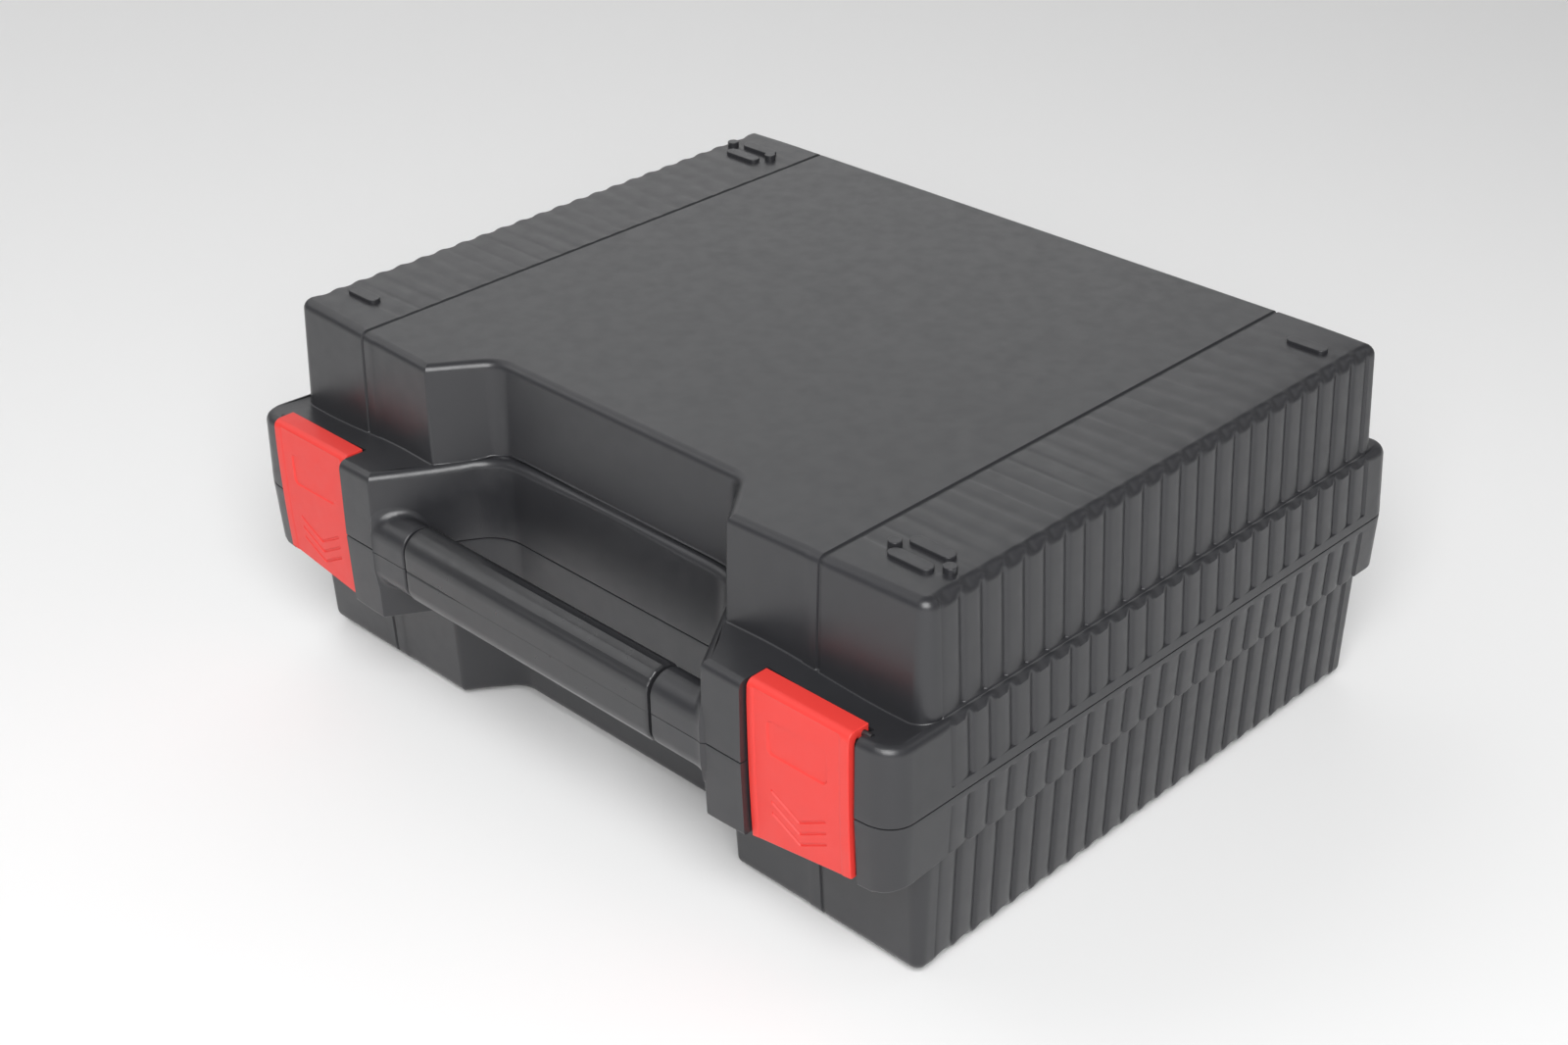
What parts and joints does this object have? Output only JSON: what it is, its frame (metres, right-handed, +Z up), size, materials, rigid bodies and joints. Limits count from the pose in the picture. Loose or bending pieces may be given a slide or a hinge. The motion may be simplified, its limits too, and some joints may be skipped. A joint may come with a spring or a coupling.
{
  "type": "hard tool case",
  "caption": "Moulded carrying case in two equal half shells, with a hinged ribbed lid, a handle in a front bay and red snap latches.",
  "frame": {"origin": "on the ground under the middle of the closed case's box", "axes": "+X to the right along the handle side, -Y towards the handle and the latches, +Z up"},
  "size_m": [0.353, 0.3084, 0.1544],
  "materials": {
    "shell": "fine moulded grain, charcoal",
    "grip": "smooth satin, charcoal",
    "latch": "satin, coral red",
    "pin": "drawn wire",
    "core": "plain tube"
  },
  "bodies": {
    "base": {"base_shell": "shell", "hinge_pin_left": "pin", "hinge_pin_right": "pin", "grip_upper": "grip", "grip_lower": "grip", "grip_core": "core"},
    "lid": {"lid_shell": "shell", "latch_pin_left": "pin", "latch_pin_right": "pin"},
    "latch_l": {"latch_left": "latch"},
    "latch_r": {"latch_right": "latch"}
  },
  "joints": [
    {"name": "lid_hinge", "type": "hinge", "parent": "base", "child": "lid", "pos_m": [0, 0.14985, 0.077], "axis": [-1, 0, 0], "range_deg": [0, 110]},
    {"name": "latch_left_pivot", "type": "hinge", "parent": "lid", "child": "latch_l", "pos_m": [-0.1357, -0.14295, 0.1077], "axis": [-1, 0, 0], "range_deg": [0, 90]},
    {"name": "latch_right_pivot", "type": "hinge", "parent": "lid", "child": "latch_r", "pos_m": [0.1357, -0.14295, 0.1077], "axis": [-1, 0, 0], "range_deg": [0, 90]}
  ]
}
